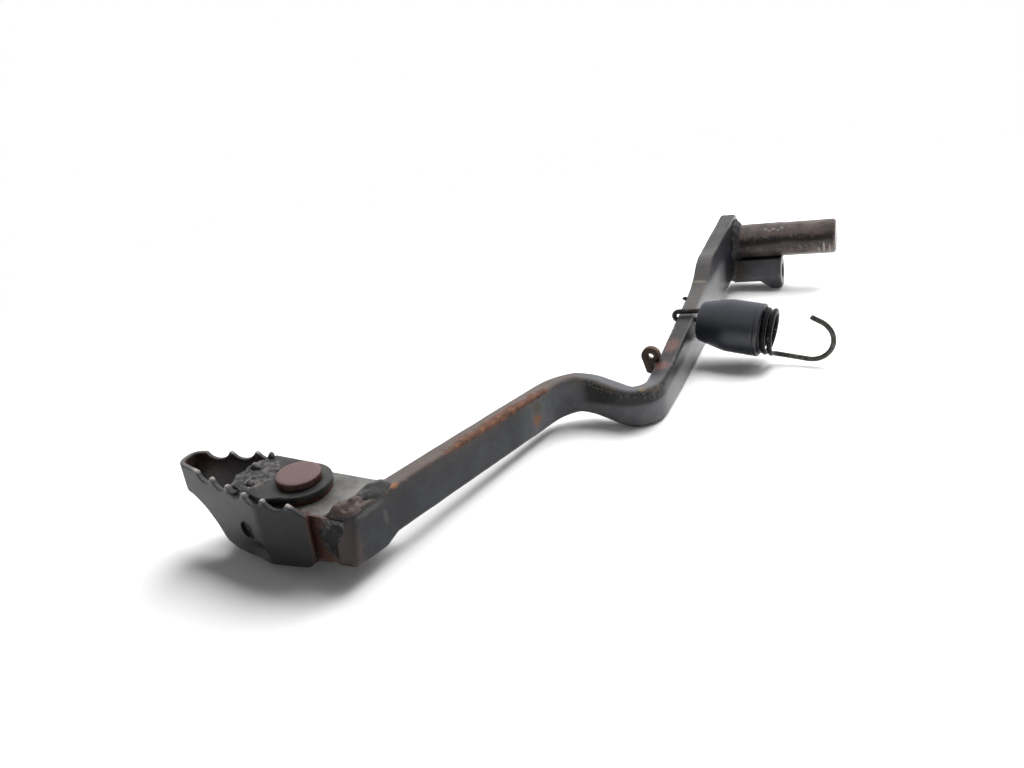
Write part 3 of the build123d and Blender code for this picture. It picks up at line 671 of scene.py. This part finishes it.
makeShaft(valuesOf(shaftTurning))
softCopy("bossBlock", "rod_boss", "arm", "bossPaint", 0.35)
softCopy("tabPlate", "stop_tab", "arm", "tabRust", 0.4)
softCopy("lugBlock", "toe_lug", "arm", "lugPaint", 0.6)
print("shaft, boss, tab and lug made")


def bead(b, seed):
    # a straight tube with ripples along it and lumps all over
    size = b.size
    grid = tube(straightRun(b.start, b.end, b.rings), np.tile(b.out, (b.rings, 1)), size, 18)
    middle = grid.mean(axis=1, keepdims=True)
    along = np.linspace(0, 1, grid.shape[0])[:, None]
    swell = 0.92 + 0.15 * lumps(grid, 2.2 * size, seed) + 0.1 * lumps(grid, 0.9 * size, seed + 1)
    swell = swell + 0.05 * np.sin(along * grid.shape[0] * 0.9)
    return (middle + (grid - middle) * swell[..., None], False, True)


def placeWeld(name, grids, body, node):
    placePiece(name, meshFrom(name, grids), body, "weldMetal", (node,))


def collarGrid(b):
    # a sloping ring turned about the shaft, drawn in by lumps that grow towards its foot
    footR, topR, height, insideR = b.footR, b.topR, b.height, b.topR - b.inset
    slope = np.linspace(0, 1, 16)
    profile = np.c_[footR - (footR - topR) * slope, height * slope**0.9]
    profile = np.vstack([(insideR, -b.sink), (footR, -b.sink), profile, (insideR, height)])
    ring = lathe(profile, 96)[..., [2, 0, 1]]
    share = np.clip((np.linalg.norm(ring[..., 1:], axis=-1) - topR) / (footR - topR), 0, 1)
    swell = 1 - share * (0.06 - 0.05 * lumps(ring, 3.4, 3) - 0.03 * lumps(ring, 1.5, 4))
    return np.dstack([ring[..., :1], ring[..., 1:] * swell[..., None]])


shaftCollar = dict(footR=11.6, topR=8, height=3.2, inset=0.6, sink=0.2)
bossWeld = dict(start=(0.3, -6.6, -7.4), end=(0.3, -12, -14.7), out=(1.0, 0, 0), size=1.7, rings=26)
tabWeld = [
    dict(start=(-6.6, y, -10.8), end=(-6.6, y, -5.9), out=(-1.0, 0, 0), size=0.9, rings=18)
    for y in (-128, -124)]
lugWeld = [
    dict(  # on the lug, by the arm
        corners=onToe(((17.4, -9.4, 0), (20.8, 9, 0), (24.2, 9, 0), (20.6, -9.4, 0))),
        up=toeUp, crown=2.7, sink=0.8, size=3.4, seed=11),
    dict(  # over the arm's end
        corners=((-64.6, -247.6, 4), (-61.2, -238.4, 4.6), (-53.6, -238.4, 4.8), (-54.6, -247.8, 4.8)),
        up=(-0.1, -0.15, 1), crown=2.5, sink=1.2, size=3.0, seed=15),
    dict(  # behind it
        corners=((-61.8, -242, 4.6), (-58.6, -228.4, 4.2), (-51.8, -229.4, 4.2), (-53.4, -241.6, 4.8)),
        up=(0, 0, 1), crown=2.9, sink=0.8, size=5.0, seed=19),
    dict(  # down the front
        corners=((-68.6, -246.4, 4.6), (-68.6, -246.4, -11), (-56.4, -248, -11), (-56.4, -245.2, 4.6)),
        up=(0, -1, 0), crown=2.0, sink=0.6, size=4.0, seed=25),
]
treadWeld = dict(
    corners=onToe(((-6.6, -12, 2.7), (-8.6, 8, 2.9), (-21.4, 8.4, 1.6), (-21.4, -9.4, 1.5))),
    up=toeUp, crown=1.6, sink=1.0, size=1.5, seed=13, rows=96, columns=72)
weldDrops = (
    ((-16.7, 1.4, 3.8), (1.6, 1.3, 1.1)), ((-16.2, 8, 3.5), (1.1, 1.1, 1.2)), ((-13, -6, 3.4), (1.4, 1.2, 0.8)))
lowerWeld = dict(
    corners=onToe(((-13, -9.6, -17.6), (-13, 9.6, -17.6), (-26.4, 7.2, -16.4), (-26.4, -7.2, -16.4))),
    up=-toeUp, crown=1.0, sink=1.0, size=3.0, seed=17)

placeWeld("shaftBead", [(collarGrid(valuesOf(shaftCollar)), True, True)], "arm", "shaft_weld")
placeWeld("bossBead", [bead(valuesOf(bossWeld), 5)], "arm", "boss_weld")
placeWeld("tabBead", [bead(valuesOf(side), 7) for side in tabWeld], "arm", "tab_weld")
placeWeld("lugBead", [grid for patch in lugWeld for grid in mound(**patch)], "arm", "lug_weld")
drops = [(onToe(pebble(*drop, 21)), False, True) for drop in weldDrops]
placeWeld("treadBead", mound(**treadWeld) + drops, "toe", "tread_weld")
placeWeld("treadBeadLow", mound(**lowerWeld), "toe", "tread_weld_lower")
print("welds made")


treadSheet = dict(
    sheet=1.5, wallMid=12.3, tipMidS=41.71, tipMidHalf=3.15, straight=6, innerEnd=11.2,
    endTop=1.2, rearStart=16, creaseR=8, tipBendR=3.3, edge=0.45, step=0.3, soft=1.2,
    toothTop=4, toothDepth=2.4, toothLand=0.9,
    frontTeeth=(-5.4, 3.2, 10.55, 17.9, 25.25, 32.6), rearTeeth=(13.85, 21.9, 29.95, 38),
    bottomKnots=((-11.2, -13), (-9, -15.8), (5, -18), (20, -18.4), (25, -17.4), (28, -12.6), (32, -8.7),
                 (37, -5.9), (45, -4.4)),
    rearKnots=((5, -18), (16, -18.4), (25, -17.8), (30, -15), (34, -12), (38, -9.3), (40.6, -7.4),
               (42, -4.6), (45, -4.4)),
    rearY=(-1.5, 3), tipRub=0.9, tipFade=(33, 35.5), tipLoss=0.8,
    rubS=(4.5, 8.5), rubRear=0.8, rustyEnd=(10.3, 10.9),
    holeS=12.6, holeDrop=8.9, holeR=2.9, holeReach=6, sharpAngle=48,
    dentS=9.6, dentDrop=15, dentDepth=2, dentSize=(4.5, 2.6), darkDrop=14, darkSize=(3, 1.5),
)


def toothTop(s, teeth, b):
    # between two teeth the edge follows a round gap; elsewhere it stays at the height of the tips
    teeth = np.array(teeth)
    index = np.clip(np.searchsorted(teeth, s) - 1, 0, len(teeth) - 2)
    start, end = teeth[index], teeth[index + 1]
    chord = (end - start - b.toothLand) / 2
    radius = (chord**2 + b.toothDepth**2) / (2 * b.toothDepth)
    off = s - (start + end) / 2
    inside = (np.abs(off) < chord) & (s > teeth[0]) & (s < teeth[-1])
    dip = np.sqrt(np.maximum(radius**2 - off**2, 0)) - (radius - b.toothDepth)
    return b.toothTop - np.where(inside, dip, 0)


def cutHole(mesh, cutter):
    # takes a closed cutter out of a mesh, once, and gives the mesh that is left
    whole, tool = addObject("wholeSheet", mesh), addObject("drill", cutter)
    cut = whole.modifiers.new("hole", "BOOLEAN")
    cut.operation, cut.solver, cut.object = "DIFFERENCE", "EXACT", tool
    left = bpy.data.meshes.new_from_object(whole.evaluated_get(bpy.context.evaluated_depsgraph_get()))
    for thing in (whole, tool):
        bpy.data.objects.remove(thing)
    return left


def makeTread(b):
    # a sheet on edge carried round the loop: teeth along its top, knots along its bottom, its rear wall lower
    wall, tipS, tipHalf, teethStart = b.wallMid, b.tipMidS, b.tipMidHalf, b.frontTeeth[0]
    rearY = wall - (wall - tipHalf) / (tipS - b.straight) * (b.rearStart - b.straight)
    path = filletPath(
        [(b.innerEnd - b.edge, -wall), (-b.straight, -wall), (-tipS, -tipHalf), (-tipS, tipHalf),
         (-b.rearStart - b.edge, rearY)],
        [b.creaseR, b.tipBendR, b.tipBendR], b.step)
    s, y = -path[:, 0], path[:, 1]
    endSlope = np.interp(s, (-b.innerEnd, teethStart), (b.endTop, b.toothTop))
    frontTop = np.where(s < teethStart, endSlope, toothTop(s, b.frontTeeth, b))
    top = np.where(y > 0, toothTop(s, b.rearTeeth, b), frontTop)
    bottom, lower = softened(s, b.bottomKnots, b.soft), softened(s, b.rearKnots, b.soft)
    bottom = bottom + (lower - bottom) * ramp(y, *b.rearY)
    grid, marks = ribbon(path, b.sheet / 2, top, bottom, np.full(len(s), b.edge), 13, 3)
    front, gridS, z = grid[..., 1] < 0, -grid[..., 0], grid[..., 2]
    tip = ramp(z, b.toothTop - b.tipRub, b.toothTop) * np.maximum(marks["edge"], marks["top"])
    marks["tip"] = tip * (1 - b.tipLoss * ramp(gridS, *b.tipFade))
    # outer faces lighter: rubbed wear, and painted light on the front wall past its crease
    marks["rubbedAndLit"] = (1 - marks["inner"]) * np.where(front, ramp(gridS, *b.rubS), b.rubRear)
    marks["rusty"] = np.where(front, ramp(-gridS, *b.rustyEnd), 0)
    # a dent: the lower edge of the front wall is pushed inwards, and painted shade darkens the wall below it
    grid[..., 1] += b.dentDepth * front * bell(gridS - b.dentS, z + b.dentDrop, b.dentSize)
    marks["dent"] = front * bell(gridS - b.dentS, z + b.darkDrop, b.darkSize)
    mesh = meshFrom("treadSheet", [(onToe(grid), False, True)], marks)
    r, far = b.holeR, b.holeReach
    drill = lathe([(0, -far), (r, -far), (r, far), (0, far)], 40)[..., [0, 2, 1]]
    drill = drill + np.array([-b.holeS, -wall, -b.holeDrop])
    mesh = cutHole(mesh, meshFrom("drill", [(onToe(drill), False, True)]))
    mesh.set_sharp_from_angle(angle=np.radians(b.sharpAngle))
    placePiece("treadSheet", mesh, "toe", "treadMetal", ("toe_tread",))


makeTread(valuesOf(treadSheet))
softCopy("plateUpper", "hinge_plate_upper", "toe", "plateMetal", 0.3)
softCopy("plateLower", "hinge_plate_lower", "toe", "plateMetal", 0.3)

rivetTurning = dict(
    r=3.75, headR=6.4, headBottom=3.3, headTop=5.6, tailR=5.6, tailTop=-18.1, tailBottom=-20.1,
    wobble=0.012, wobbleSize=9, sharpAngle=50, turns=64,
)
washerRing = dict(r=3.75, outerR=8.8, height=1.2, low=0.02, round=0.2)


def makeRivet(b):
    # rings turned about the hinge's axis, each with its radius, its height and its mark for the bare top
    headR, headTop, headBottom = b.headR, b.headTop, b.headBottom
    tailR, tailTop, tailBottom = b.tailR, b.tailTop, b.tailBottom
    rings = np.array([
        (0, headTop, 1), (3.0, headTop - 0.02, 1), (5.0, headTop - 0.05, 1), (headR - 0.35, headTop - 0.1, 1),
        (headR - 0.1, headTop - 0.25, 0.5), (headR, headTop - 0.5, 0), (headR, headBottom + 0.2, 0),
        (headR - 0.25, headBottom, 0), (b.r, headBottom, 0), (b.r, tailTop, 0), (tailR - 0.2, tailTop, 0),
        (tailR, tailTop - 0.3, 0), (tailR, tailTop - 0.9, 0), (tailR - 1.0, tailBottom + 0.05, 0),
        (2.0, tailBottom, 0), (0, tailBottom, 0),
    ])
    grid = lathe(rings, b.turns)
    uneven = lumps(grid * np.array([1, 1, 0]), b.wobbleSize, 23) * (grid[..., 2] > headBottom)
    grid = np.dstack([grid[..., :2] * (1 + b.wobble * uneven)[..., None], grid[..., 2:]])
    marks = {"top": np.outer(rings[:, 2], np.ones(b.turns))}
    mesh = meshFrom("rivetTurning", [(onToe(grid), False, True)], marks)
    mesh.set_sharp_from_angle(angle=np.radians(b.sharpAngle))
    placePiece("rivetTurning", mesh, "arm", "rivetRust", ("hinge_rivet",))


def makeWasher(b):
    # a flat ring with rounded outer edges
    r, outerR, low, high, edge = b.r, b.outerR, b.low, b.height, b.round
    rings = [
        (r, low), (outerR - edge, low), (outerR, low + edge), (outerR, high - low - edge),
        (outerR - edge, high), (r, high),
    ]
    mesh = meshFrom("washerRing", [(onToe(lathe(rings)), True, True)])
    placePiece("washerRing", mesh, "arm", "washerRust", ("rivet_washer",))


makeRivet(valuesOf(rivetTurning))
makeWasher(valuesOf(washerRing))
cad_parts["toe_spring"].material_slots[0].material = finishes["springWire"]
print("toe piece made")


springWinding = dict(
    y=-93, shift=1.69, wire=0.95, around=14, start=(1.6, -4.3), droop=8.4, yaw=6,
    smallR=5.4, bigR=8, coneEnd=11, coilStart=3.6, coilEnd=28.85, pitch=2.4,
    bendR=2.5, run=10.2, hookR=7.9, hookTurn=160, tip=3.6,
    strandZ=0.403, strandX=7.29, holeZ=-3.2, turnX=-6, tailX=3, heldShade=0.35,
)


def coilAxes(b):
    # the coil's line droops by one angle and turns forward by the other
    droop, yaw = np.radians(b.droop), np.radians(b.yaw)
    level = np.array([np.cos(yaw), -np.sin(yaw), 0])
    high = np.array([0, 0, 1.0])
    along = np.cos(droop) * level - np.sin(droop) * high
    above = np.sin(droop) * level + np.cos(droop) * high
    return np.array([b.start[0], b.y + b.shift, b.start[1]]), along, above, np.cross(along, above)


def freeEnd(b):
    # turns on a cone and a cylinder, a bend into line with the coil, a straight run, an open hook and its tip
    origin, along, above, beside = coilAxes(b)
    climb = np.arctan2(b.pitch, 2 * np.pi * b.bigR)
    reach = b.bendR * np.tan((np.pi / 2 - climb) / 2)
    lead = np.arctan2(reach * np.cos(climb), b.bigR)
    height = np.linspace(b.coilStart, b.coilEnd, 460)
    radius = np.interp(height, (b.coilStart, b.coneEnd), (b.smallR, b.bigR))
    angle = np.pi - lead + 2 * np.pi * (height - b.coilEnd) / b.pitch
    out = np.cos(angle)[:, None] * above + np.sin(angle)[:, None] * beside
    coil = origin + height[:, None] * along + radius[:, None] * out
    last = coil[-1]
    corner = last + unit(last - coil[-2]) * reach
    bendEnd = corner + along * reach
    share = np.linspace(0, 1, 14)[1:, None]
    bend = (1 - share) ** 2 * last + 2 * share * (1 - share) * corner + share**2 * bendEnd
    bendOut = (1 - share) * out[-1] - share * above
    runEnd = bendEnd + along * b.run
    run = straightRun(bendEnd, runEnd, 10)[1:]
    turn = np.radians(np.linspace(0, b.hookTurn, 44))[1:, None]
    hook = runEnd + along * b.hookR * np.sin(turn) + above * b.hookR * (1 - np.cos(turn))
    hookOut = along * np.sin(turn) - above * np.cos(turn)
    tipWay = along * np.cos(turn[-1]) + above * np.sin(turn[-1])
    tip = straightRun(hook[-1], hook[-1] + tipWay * b.tip, 6)[1:]
    path = np.vstack([coil, bend, run, hook, tip])
    outward = [out, bendOut, np.tile(-above, (len(run), 1)), hookOut, np.tile(hookOut[-1], (len(tip), 1))]
    grid = tube(path, np.vstack(outward), b.wire, b.around)
    inCoil = np.arange(len(grid)) < len(coil) + 3  # the tube has three more rows at its start
    return grid, np.repeat(inCoil, b.around)


def heldEnd(b):
    # a strand out over the arm, half a turn down and a tail back through the arm's hole
    turnR = (b.strandZ - b.holeZ) / 2
    up, out = np.array([0, 0, 1.0]), np.array([1.0, 0, 0])
    strand = straightRun((b.strandX, b.y, b.strandZ), (b.turnX, b.y, b.strandZ), 12)
    half = np.linspace(0, np.pi, 26)[1:, None]
    loopOut = up * np.cos(half) - out * np.sin(half)
    loop = np.array([b.turnX, b.y, b.holeZ + turnR]) + turnR * loopOut
    tail = straightRun((b.turnX, b.y, b.holeZ), (b.tailX, b.y, b.holeZ), 8)[1:]
    outward = np.vstack([np.tile(up, (len(strand), 1)), loopOut, np.tile(-up, (len(tail), 1))])
    return tube(np.vstack([strand, loop, tail]), outward, b.wire, b.around)


def makeSpring(b):
    free, inCoil = freeEnd(b)
    held = heldEnd(b)
    # painted shade: full on the coil, heldShade on the held end
    coilShade = np.r_[inCoil, np.full(len(held) * b.around, b.heldShade)]
    mesh = meshFrom("springWinding", [(free, False, True), (held, False, True)], {"coilShade": coilShade})
    placePiece("springWinding", mesh, "spring", "springWire", ("return_spring",))


sleeveMould = dict(
    start=0.4, end=24, smallR=7.45, bigR=10.05, coneEnd=11, wall=1, shoulder=1.4,
    grooveAt=22.2, grooveWide=0.22, grooveDeep=0.3, rim=0.5, lip=0.3, backStart=0.6,
)


def makeSleeve(b):
    # outer wall with a soft shoulder and a fine groove by the mouth, then the inner wall back again
    origin, along, above, beside = coilAxes(valuesOf(springWinding))
    rim, lip = b.rim, b.lip
    height = np.r_[np.linspace(b.start + b.backStart, 18, 40), np.linspace(18.2, b.end - lip, 40)]
    knots = ((-20, b.smallR - 5), (b.start, b.smallR), (b.coneEnd, b.bigR), (60, b.bigR))
    groove = np.exp(-(((height - b.grooveAt) / b.grooveWide) ** 2)) * b.grooveDeep
    outer = np.minimum(softened(height, knots, b.shoulder), b.bigR) - groove
    turn = np.radians(np.linspace(0, 180, 9))
    lipR, lipH = b.bigR - rim + rim * np.cos(turn), b.end - lip + lip * np.sin(turn)
    inner = np.interp(height[::-1], (b.start, b.coneEnd), (b.smallR, b.bigR)) - b.wall
    tipR, tipH = b.smallR - rim - rim * np.cos(turn), b.start + rim - rim * np.sin(turn)
    profile = np.c_[np.r_[outer, lipR, inner, tipR], np.r_[height, lipH, height[::-1], tipH]]
    turned = lathe(profile, 80)
    grid = origin + turned[..., :1] * above + turned[..., 1:2] * beside + turned[..., 2:] * along
    mesh = meshFrom("sleeveMould", [(grid, True, True)])
    placePiece("sleeveMould", mesh, "spring", "sleeveRubber", ("spring_sleeve",))


makeSpring(valuesOf(springWinding))
makeSleeve(valuesOf(sleeveMould))
print("spring and sleeve made")


studio = dict(
    restZ=-21.6, restX=19, restY=-3, slopeX=-0.0372, slopeY=-0.0105, floorReach=3000,
    world=0.14, roomFront=0.27, roomUp=(0.3, 0.8), roomBack=(-0.35, 0.3),
    keyPower=21.5, keyPlace=(0.08, 0.43, 0.69), fillPower=2.4, fillPlace=(0.36, 0.3, 0.66),
    lampSize=0.92, aim=(-0.03, -0.13, 0),
    paper=(0.93, 0.93, 0.925), glowNear=0.04, nearReach=0.25, farReach=0.5,
    eye=(0.0727, -0.3829, 0.1097), right=(0.8986, 0.3986, -0.1833), down=(0.009, -0.4344, -0.9006),
    ahead=(-0.4386, 0.8077, -0.3939), lens=28.125, sensor=36, nearest=0.01,
)


def seenDirectly(tree):
    # two shares: 1 for rays from the camera, and 1 for rays that mirror or pass through
    seen = tree.nodes.new("ShaderNodeLightPath").outputs
    mirrored = mathNode(tree, "ADD", seen["Is Glossy Ray"], seen["Is Transmission Ray"], True)
    return seen["Is Camera Ray"], mirrored


def makeFloor(b):
    # a wide flat sheet in the plane that the pedal rests on; away from the pedal it fades to plain white
    side = np.linspace(-b.floorReach, b.floorReach, 13)
    x, y = np.meshgrid(side, side)
    z = b.restZ + b.slopeX * (x - b.restX) + b.slopeY * (y - b.restY)
    floor = addObject("floor", meshFrom("floor", [(np.dstack([x, y, z]), False, False)]))
    material = bpy.data.materials.new("paleFloor")
    material.use_nodes = True
    tree = material.node_tree
    tree.nodes.clear()
    camera, mirrored = seenDirectly(tree)
    where = tree.nodes.new("ShaderNodeTexCoord").outputs["Object"]
    away = addNode(tree, "ShaderNodeVectorMath", {0: where, 1: b.aim}, operation="DISTANCE").outputs["Value"]
    glowShare = plusTimes(tree, b.glowNear, between(tree, away, b.nearReach, b.farReach), 1 - b.glowNear)
    share = times(tree, mathNode(tree, "ADD", camera, mirrored, True), glowShare)
    paper = addNode(tree, "ShaderNodeBsdfDiffuse", {"Color": (*b.paper, 1)})
    glow = addNode(tree, "ShaderNodeEmission", {"Color": (1, 1, 1, 1), "Strength": 1.0})
    mixed = addNode(tree, "ShaderNodeMixShader", {0: share, 1: paper.outputs[0], 2: glow.outputs[0]})
    addNode(tree, "ShaderNodeOutputMaterial", {"Surface": mixed.outputs[0]})
    floor.data.materials.append(material)


def makeLight(b):
    # a pale room: white behind the pedal and overhead, dimmer on the side it is looked at from
    world = bpy.data.worlds.new("paleRoom")
    scene.world = world
    world.use_nodes = True
    tree = world.node_tree
    tree.nodes.clear()
    camera, mirrored = seenDirectly(tree)
    where = tree.nodes.new("ShaderNodeTexCoord").outputs["Generated"]
    way = addNode(tree, "ShaderNodeSeparateXYZ", {0: where}).outputs
    bright = mathNode(
        tree, "MAXIMUM", between(tree, way["Z"], *b.roomUp), between(tree, way["Y"], *b.roomBack))
    room = plusTimes(tree, b.roomFront, bright, 1 - b.roomFront)
    dimmed = plusTimes(tree, b.world, mirrored, 1 - b.world)
    strength = mathNode(tree, "MAXIMUM", camera, times(tree, room, dimmed))
    sky = addNode(tree, "ShaderNodeBackground", {"Color": (1, 1, 1, 1), "Strength": strength})
    addNode(tree, "ShaderNodeOutputWorld", {"Surface": sky.outputs[0]})
    for name, power, place in (("keyLight", b.keyPower, b.keyPlace), ("fillLight", b.fillPower, b.fillPlace)):
        lamp = bpy.data.lights.new(name, "AREA")
        lamp.energy, lamp.size = power, b.lampSize
        holder = addObject(name, lamp)
        holder.location = place
        holder.visible_glossy = False
        aim = Vector(b.aim) - Vector(place)
        holder.rotation_euler = aim.to_track_quat("-Z", "Y").to_euler()


def makeCamera(b):
    camera = bpy.data.cameras.new("viewer")
    camera.lens, camera.sensor_width, camera.clip_start = b.lens, b.sensor, b.nearest
    holder = addObject("viewer", camera)
    right, up, back = np.array(b.right), -np.array(b.down), -np.array(b.ahead)
    turn = Matrix(np.c_[right, up, back].tolist()).to_4x4()
    holder.matrix_world = Matrix.Translation(b.eye) @ turn
    scene.camera = holder


for makeStage in (makeFloor, makeLight, makeCamera):
    makeStage(valuesOf(studio))
scene.view_settings.view_transform = "Standard"
print("floor, light and camera made")
